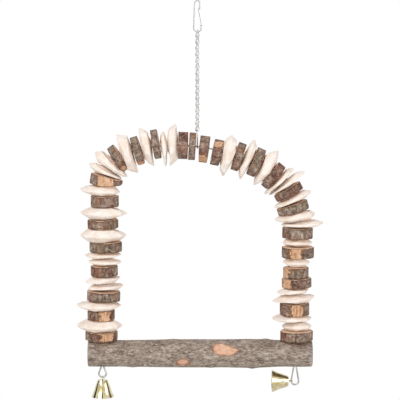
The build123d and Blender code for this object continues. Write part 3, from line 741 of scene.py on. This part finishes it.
def hewn_chip(points, triangles, wire, number, others, fixed):
    """A hewn chip: a thick uneven flake with a sharp rim, shaved by a few blade strokes."""
    middle, outward, _, thread = bead_axes(points, wire)
    axes = np.array((outward, np.cross(thread, outward), thread))
    local = (points - middle) @ axes.T
    tree = tree_of(local, triangles)
    centre = (local.min(axis=0) + local.max(axis=0)) / 2
    angles = turns(CHIP_STEPS)
    tips = chip_tips(tree, centre, angles)
    ways = np.array((np.cos(angles), np.sin(angles)))
    tip = centre[:2, None] + ways * tips[0]
    inner = ways * BORE_RADIUS
    shares = np.array(CHIP_SHARES)
    places = inner[None] * (1 - shares)[:, None, None] + tip[None] * shares[:, None, None]
    places += ways[None] * BORE_CLEAR * (1 - shares)[:, None, None]
    tops, feet = np.zeros((2, len(shares), CHIP_STEPS))
    for k in range(len(shares)):
        for j in range(CHIP_STEPS):
            x, y = places[k, :, j]
            tops[k, j] = height(tree, x, y, 1, tips[1, j])
            feet[k, j] = height(tree, x, y, -1, tips[1, j])
    draw = np.random.default_rng(number)
    beside = (others[0] - middle) @ axes.T
    above, below = chip_room(beside, others[1], places, tip, tops, feet, fixed)
    # The flats end nearer the rim towards the viewer and on the bend
    plate = CHIP_PLATE + CHIP_PLATE_FRONT * np.abs(np.sin(angles)) + (CHIP_PLATE_BEND if fixed else 0)
    plate = plate + CHIP_PLATE_WOBBLE * np.sin(2 * angles + draw.uniform(0, CHIP_PLATE_PHASE))
    plate = np.minimum(plate, CHIP_PLATE_MOST)
    fill = CHIP_FILL * np.clip((1 - shares[:, None]) / (1 - plate[None]), 0, 1)
    tops += fill * np.maximum(0, above - tops)
    feet -= fill * np.maximum(0, feet - below)
    limit = CHIP_STROKE_LIMIT * np.clip((shares - CHIP_HUB_SHARE) / CHIP_HUB_FADE, 0, 1)[:, None]
    spans = np.linalg.norm(tip - inner, axis=0)
    sides = []
    for side, heights in ((1, tops), (-1, -feet)):
        shaved = struck(heights, shares, places, ways, spans, draw)
        shaved = np.maximum(shaved, heights - limit)
        # A stroke leaves at least a third of the thickness
        shaved = np.maximum(shaved, (side * (tops + feet) + heights) / CHIP_STROKE_LEFT)
        sides.append(side * smoothed(shaved, CHIP_SMOOTHING))
    middles = (sides[0] + sides[1]) / 2
    outer = np.clip((shares - CHIP_THIN_START) / (1 - CHIP_THIN_START), 0, 1)
    thin = 1 - (1 - CHIP_EDGE_SHARE) * outer ** 2
    offset = number * CHIP_SHIFT
    rings = []
    reliefs = np.zeros((2, len(shares), CHIP_STEPS))
    for layer, (side, heights) in enumerate(zip((1, -1), sides)):
        levels = middles + (heights - middles) * thin[:, None]
        ring_set = np.zeros((len(shares), CHIP_STEPS, 3))
        for k in range(len(shares)):
            for j in range(CHIP_STEPS):
                place = np.array((places[k, 0, j], places[k, 1, j], levels[k, j]))
                line = noise.noise(Vector((place + offset) * CHIP_FIBRE_STRETCH) / CHIP_FIBRE)
                ring_set[k, j] = place - (0, 0, side * CHIP_GRAIN * (1 + line))
                reliefs[layer, k, j] = 0.5 + 0.5 * line
        rings.append(list(ring_set))
    edge_ring = np.column_stack((tip[0], tip[1], middles[-1]))
    order = rings[0] + [edge_ring] + rings[1][::-1]
    mesh_points, faces, marks = ring_mesh(order, [0] * len(order))
    relief = np.concatenate((reliefs[0].ravel(), np.zeros(CHIP_STEPS), reliefs[1, ::-1].ravel()))
    quiet = np.zeros(len(mesh_points))
    turn = draw.uniform(-CHIP_GRAIN_TURN, CHIP_GRAIN_TURN)
    swing = np.array(((math.cos(turn), math.sin(turn), 0), (-math.sin(turn), math.cos(turn), 0), (0, 0, 1)))
    return {
        "points": mesh_points @ axes + middle,
        "faces": faces,
        "marks": marks,
        "grain": mesh_points @ swing.T + offset,
        "relief": relief * CHIP_GROOVE_SHADE,
        "cut": quiet,
        "edge": quiet,
    }


# Perch
def bores(points, triangles):
    """Middle and radius of the two holes drilled down through the perch."""
    corners = points[triangles]
    upright = np.abs(facets(points, triangles)[0][:, 2]) < RIM_TILT
    near = np.abs(corners[:, :, 1]).max(axis=1) < PERCH_HOLE_REACH
    inside = (corners[:, :, 0].min(axis=1) > points[:, 0].min() + PERCH_HOLE_REACH)
    inside &= (corners[:, :, 0].max(axis=1) < points[:, 0].max() - PERCH_HOLE_REACH)
    walls = corners[upright & near & inside].reshape(-1, 3)[:, 0]
    found = []
    for side in (-1, 1):
        x = walls[walls * side > 0]
        found.append(((x.min() + x.max()) / 2, (x.max() - x.min()) / 2))
    return found


def scar_taper(hollow, places, angles):
    """Where the largest twig scar stays open: rounded on its left, tapering to a point low on its right."""
    deepest = np.unravel_index(hollow.argmax(), hollow.shape)
    along = (places - places[deepest[0]])[:, None]
    above = (angles[deepest[1]] - angles)[None]
    near = (np.abs(along) < PERCH_SCAR_LENGTH) & (np.abs(above) < PERCH_SCAR_TURN)
    inside = near & (hollow > 0)
    half_length = np.abs(along[inside.any(axis=1)]).max()
    half_turn = np.abs(above[0, inside.any(axis=0)]).max()
    chord = PERCH_SCAR_WAY[0] * along / half_length + PERCH_SCAR_WAY[1] * above / half_turn
    wobble = np.array([noise.noise(Vector((x / PERCH_SCAR_WAVE, 0, 0))) for x in places])[:, None]
    limit = PERCH_SCAR_CHORD + PERCH_SCAR_WOBBLE * wobble
    return np.where(near, np.clip((limit - chord) / PERCH_SCAR_FADE, 0, 1), 1)


def perch_skin(tree, places, angles, axis_z, holes):
    """How far the bark reaches at each place and turn, its usual reach there, its scars and relief."""
    reach = np.zeros((PERCH_STEPS, PERCH_TURNS))
    for k, x in enumerate(places):
        for j, angle in enumerate(angles):
            way = Vector((0, math.cos(angle), math.sin(angle)))
            hit = ray(tree, Vector((x, 0, axis_z)) + way * RAY_START, -way)
            reach[k, j] = math.hypot(hit.y, hit.z - axis_z) if hit else 0
    round_reach = np.median(reach, axis=1)
    for hole, _ in holes:
        for k in np.flatnonzero(np.abs(places - hole) < PERCH_HOLE_REACH):
            near = np.abs(np.cos(angles)) * round_reach[k] < PERCH_HOLE_REACH
            reach[k, near] = round_reach[k]
    hollow = round_reach[:, None] - reach - PERCH_CHORD
    reach += np.maximum(0, hollow) * (1 - scar_taper(hollow, places, angles))
    hollow = round_reach[:, None] - reach - PERCH_CHORD
    scar = np.where(hollow > 0, np.clip(hollow / PERCH_SCAR_DEPTH, 0, 1), -1)
    relief = np.zeros(reach.shape)
    for k, x in enumerate(places):
        for j, angle in enumerate(angles):
            place = np.array((x, reach[k, j] * math.cos(angle), reach[k, j] * math.sin(angle)))
            depth = bark_depth(place, PERCH_STRETCH, PERCH_BARK)
            depth *= 1 - PERCH_SCAR_SMOOTH * max(0, scar[k, j])
            relief[k, j] = depth / sum(PERCH_BARK)
            reach[k, j] -= depth
    for x, turn, rise in PERCH_BUDS:
        bend = (angles - math.radians(turn) + math.pi) % (2 * math.pi) - math.pi
        along = np.exp(-((places - x) / PERCH_BUD_LENGTH) ** 2)
        reach += rise * along[:, None] * np.exp(-(bend / PERCH_BUD_TURN) ** 2)[None]
    return reach, round_reach, scar, relief


def perch_tunnels(grid, places, round_reach, axis_z, holes):
    """The two drilled holes: the faces of bark that they take away, the rings of points on their walls, and
    the loops of point numbers from the bark on top to the bark below."""
    lead = len(PERCH_END_SHARES)
    count = PERCH_TURNS
    start = (PERCH_STEPS + 2 * lead) * count
    drilled = set()
    walls = []
    tunnels = []
    for hole, radius in holes:
        margin = radius + PERCH_HOLE_MARGIN
        rows = np.searchsorted(places, (hole - margin, hole + margin))
        left, right = rows[0] - 1, rows[1]
        half = math.ceil(margin / (round_reach[left] * 2 * math.pi / count))
        near, far = count // 4 - half, count // 4 + half
        for k in range(left, right):
            for j in range(near, far):
                drilled |= {(lead + k, j), (lead + k, count - 1 - j)}
        # The loop round the hole on top, anticlockwise from above, and the same places below
        loop = [(k, far) for k in range(left, right)] + [(right, j) for j in range(far, near, -1)]
        loop += [(k, near) for k in range(right, left, -1)] + [(left, j) for j in range(near, far)]
        above = np.array([grid[k, j] for k, j in loop])
        below = np.array([grid[k, count - j] for k, j in loop])
        way = above[:, :2] - (hole, 0)
        wall = (hole, 0) + radius * way / np.linalg.norm(way, axis=1)[:, None]
        top, foot = (
            axis_z + side * np.sqrt(bark[:, 1] ** 2 + (bark[:, 2] - axis_z) ** 2 - wall[:, 1] ** 2)
            for side, bark in ((1, above), (-1, below)))
        levels = (top, top - PERCH_HOLE_EDGE, foot + PERCH_HOLE_EDGE, foot)
        walls += [np.column_stack((wall, level)) for level in levels]
        steps = [[(lead + k) * count + j for k, j in loop]]
        for _ in levels:
            steps.append(list(range(start, start + len(loop))))
            start += len(loop)
        steps.append([(lead + k) * count + count - j for k, j in loop])
        tunnels.append(steps)
    return drilled, walls, tunnels


def branch_perch():
    """The perch: a long branch with fine bark, sawn ends, hollow twig scars and two drilled holes."""
    points, triangles = solids("perch")[0]
    low, high = points.min(axis=0), points.max(axis=0)
    axis_z = (low[2] + high[2]) / 2
    holes = bores(points, triangles)
    places = np.linspace(low[0] + PERCH_INSET, high[0] - PERCH_INSET, PERCH_STEPS)
    angles = turns(PERCH_TURNS)
    reach, round_reach, scar, relief = perch_skin(tree_of(points, triangles), places, angles, axis_z, holes)
    grid = np.zeros((PERCH_STEPS, PERCH_TURNS, 3))
    grid[:, :, 0] = places[:, None]
    grid[:, :, 1] = reach * np.cos(angles)
    grid[:, :, 2] = axis_z + reach * np.sin(angles)
    ends = {0: [], -1: []}
    for row, rings in ends.items():
        for share in PERCH_END_SHARES:
            ring = grid[row].copy()
            ring[:, 1] *= share
            ring[:, 2] = axis_z + (ring[:, 2] - axis_z) * share
            rings.append(ring)
    order = ends[0][::-1] + list(grid) + ends[-1]
    drilled, walls, tunnels = perch_tunnels(grid, places, round_reach, axis_z, holes)
    mesh_points = np.concatenate(order + walls)
    lead = len(PERCH_END_SHARES)
    count = PERCH_TURNS
    skin = len(order) * count
    faces = []
    marks = []
    for k in range(len(order) - 1):
        for j in range(count):
            if (k, j) in drilled:
                continue
            step = (j + 1) % count
            faces.append((k * count + j, k * count + step, (k + 1) * count + step, (k + 1) * count + j))
            marks.append(0 if lead <= k < lead + PERCH_STEPS - 1 else 1)
    faces.append(tuple(range(count))[::-1])
    faces.append(tuple(range(skin - count, skin)))
    marks += [1, 1]
    for steps in tunnels:
        for n in range(len(steps) - 1):
            outer, inner = steps[n], steps[n + 1]
            for i in range(len(outer)):
                step = (i + 1) % len(outer)
                faces.append((outer[i], outer[step], inner[step], inner[i]))
                marks.append(0 if n in (0, len(steps) - 2) else 1)
    grain = mesh_points - (0, 0, axis_z)
    # Growth rings run round the branch
    for sawn in (slice(0, lead * count), slice((lead + PERCH_STEPS) * count, None)):
        grain[sawn] = np.roll(grain[sawn], -1, axis=1)
    quiet = np.zeros(lead * count)
    bored = np.ones(len(mesh_points) - skin)
    edges = (1 - np.array(PERCH_END_SHARES)) * round_reach[0]
    return {
        "points": mesh_points,
        "faces": faces,
        "marks": marks,
        "grain": grain,
        # The holes' walls count as deep bark, for painted shade round their mouths
        "relief": np.concatenate((quiet, relief.ravel(), quiet, PERCH_HOLE_SHADE * bored)),
        "cut": np.concatenate((quiet - 1, scar.ravel(), quiet - 1, -bored)),
        "edge": np.concatenate((np.repeat(edges[::-1], count), np.zeros(PERCH_STEPS * count),
                                np.repeat(edges, count), round_reach[0] * bored)),
    }


# Dressing the CAD nodes
def dress_beads(bark, sawn, chip):
    """Every bead as a carved piece in place of its plain solid."""
    wire = tree_of(*solids("arch_wire")[0])
    beads = {
        node: solids(node) for node in sorted(frame["nodes"]) if "bark_disc" in node or "wood_chip" in node}
    number = 0
    for node, held in beads.items():
        parts = []
        for points, triangles in held:
            number += 1
            if "bark_disc" in node:
                parts.append(branch_slice(points, triangles, wire, number))
            else:
                others = joined([bead for row in beads.values() for bead in row if bead[0] is not points])
                parts.append(hewn_chip(points, triangles, wire, number, others, "shoulder" in node))
        if "bark_disc" in node:
            carved_piece(node, parts, [bark, sawn], BARK_CREASE)
        else:
            carved_piece(node, parts, [chip], CHIP_CREASE)


def dress_metal():
    """Plated steel and brass on the CAD solids that keep their shape."""
    hook = plated_wire("nickel_plated_spring_wire", "#D0D2CF", "#B0B2AF", 0.24)
    chain = plated_wire("nickel_plated_chain", "#DCDDDA", "#BEC0BC", 0.26)
    arch = plated_wire("galvanised_arch_wire", "#C6C7C5", "#A2A3A1", 0.34)
    brass = spun_brass()
    metals = {"bell": brass, "chain": chain, "connector": chain, "arch": arch, "hook": hook, "gate": hook}
    for node, item in frame["nodes"].items():
        material = metals.get(node.split("_")[0])
        if material is None:
            continue
        if not item.material_slots:
            item.data.materials.append(material)
        for slot in item.material_slots:
            slot.material = material


# Studio
def add_camera():
    """The photograph's view, looking slightly down."""
    data = bpy.data.cameras.new("camera")
    data.lens = CAMERA_LENS
    data.sensor_width = CAMERA_SENSOR
    data.clip_end = CAMERA_REACH
    camera = bpy.data.objects.new("camera", data)
    back = Vector((0, -math.cos(CAMERA_ELEVATION), math.sin(CAMERA_ELEVATION)))
    camera.location = CAMERA_AIM + back * CAMERA_DISTANCE
    camera.rotation_mode = "QUATERNION"
    camera.rotation_quaternion = (-back).to_track_quat("-Z", "Y")
    bpy.context.scene.collection.objects.link(camera)
    bpy.context.scene.camera = camera


def aim(item, place):
    """Puts a lamp or a board at a place, facing the swing."""
    item.location = place
    item.rotation_mode = "QUATERNION"
    item.rotation_quaternion = (LAMP_AIM - Vector(place)).to_track_quat("-Z", "Y")
    bpy.context.scene.collection.objects.link(item)


def sheet(name, width, depth):
    """A flat sheet about the origin."""
    mesh = bpy.data.meshes.new(name)
    x, y = width / 2, depth / 2
    mesh.from_pydata([(-x, -y, 0), (x, -y, 0), (x, y, 0), (-x, y, 0)], [], [(0, 1, 2, 3)])
    return bpy.data.objects.new(name, mesh)


def seen_white(tree):
    """One where the camera, a reflection or a view through glass meets the backdrop, and zero elsewhere."""
    path = add(tree, "LightPath").outputs
    seen = add(tree, "Math", {0: path["Is Camera Ray"], 1: path["Is Glossy Ray"]}, operation="MAXIMUM")
    return add(tree, "Math", {0: seen, 1: path["Is Transmission Ray"]}, operation="MAXIMUM")


def add_light():
    """The white room, the two lamps and the dark boards."""
    world = bpy.data.worlds.new("white_room")
    world.use_nodes = True
    tree = world.node_tree
    tree.nodes.clear()
    white = add(tree, "Background", {"Color": (1, 1, 1, 1), "Strength": 1})
    soft = add(tree, "Background", {"Color": (1, 1, 1, 1), "Strength": ROOM_LIGHT})
    mix = add(tree, "MixShader", {"Fac": seen_white(tree), 1: soft, 2: white})
    add(tree, "OutputWorld", {"Surface": mix})
    bpy.context.scene.world = world
    for name, place, size, power in LAMPS:
        lamp = bpy.data.lights.new(name, "AREA")
        lamp.size = size
        lamp.energy = power
        aim(bpy.data.objects.new(name, lamp), place)
    for number, (place, size, shade) in enumerate(BOARDS, 1):
        material, tree = blank(f"dark_board_{number}")
        surface(tree, {"Base Color": colour(shade), "Roughness": 0.9})
        board = sheet(f"board_{number}", *size)
        board.data.materials.append(material)
        aim(board, place)
        board.visible_camera = False
        board.visible_diffuse = False
        board.visible_shadow = False


def add_floor():
    """A plain pale floor below the swing that keeps its shadow and is lost in white further off."""
    floor = sheet("floor", FLOOR_SIZE, FLOOR_SIZE)
    floor.location = (0, 0, FLOOR_HEIGHT)
    bpy.context.scene.collection.objects.link(floor)
    material, tree = blank("pale_floor")
    place = add(tree, "TexCoord").outputs["Object"]
    away = add(tree, "VectorMath", {0: place}, operation="LENGTH")
    far = add(tree, "MapRange", {
        "Value": away, "From Min": FLOOR_NEAR, "From Max": FLOOR_FAR, "To Min": FLOOR_WHITE, "To Max": 1},
        interpolation_type="SMOOTHSTEP")
    fac = add(tree, "Math", {0: far, 1: seen_white(tree)}, operation="MULTIPLY")
    paint = add(tree, "BsdfDiffuse", {"Color": colour("#F2F1EE")})
    white = add(tree, "Emission", {"Color": (1, 1, 1, 1), "Strength": 1})
    mix = add(tree, "MixShader", {"Fac": fac, 1: paint, 2: white})
    add(tree, "OutputMaterial", {"Surface": mix})
    floor.data.materials.append(material)


def main():
    """Builds the whole scene."""
    add_camera()
    add_light()
    add_floor()
    sawn = sawn_branch()
    dress_beads(branch_bark(), sawn, hewn_chip_wood())
    dress_metal()
    carved_piece("perch", [branch_perch()], [perch_bark(), sawn], BARK_CREASE)


main()
bpy.context.scene.view_settings.view_transform = "Standard"
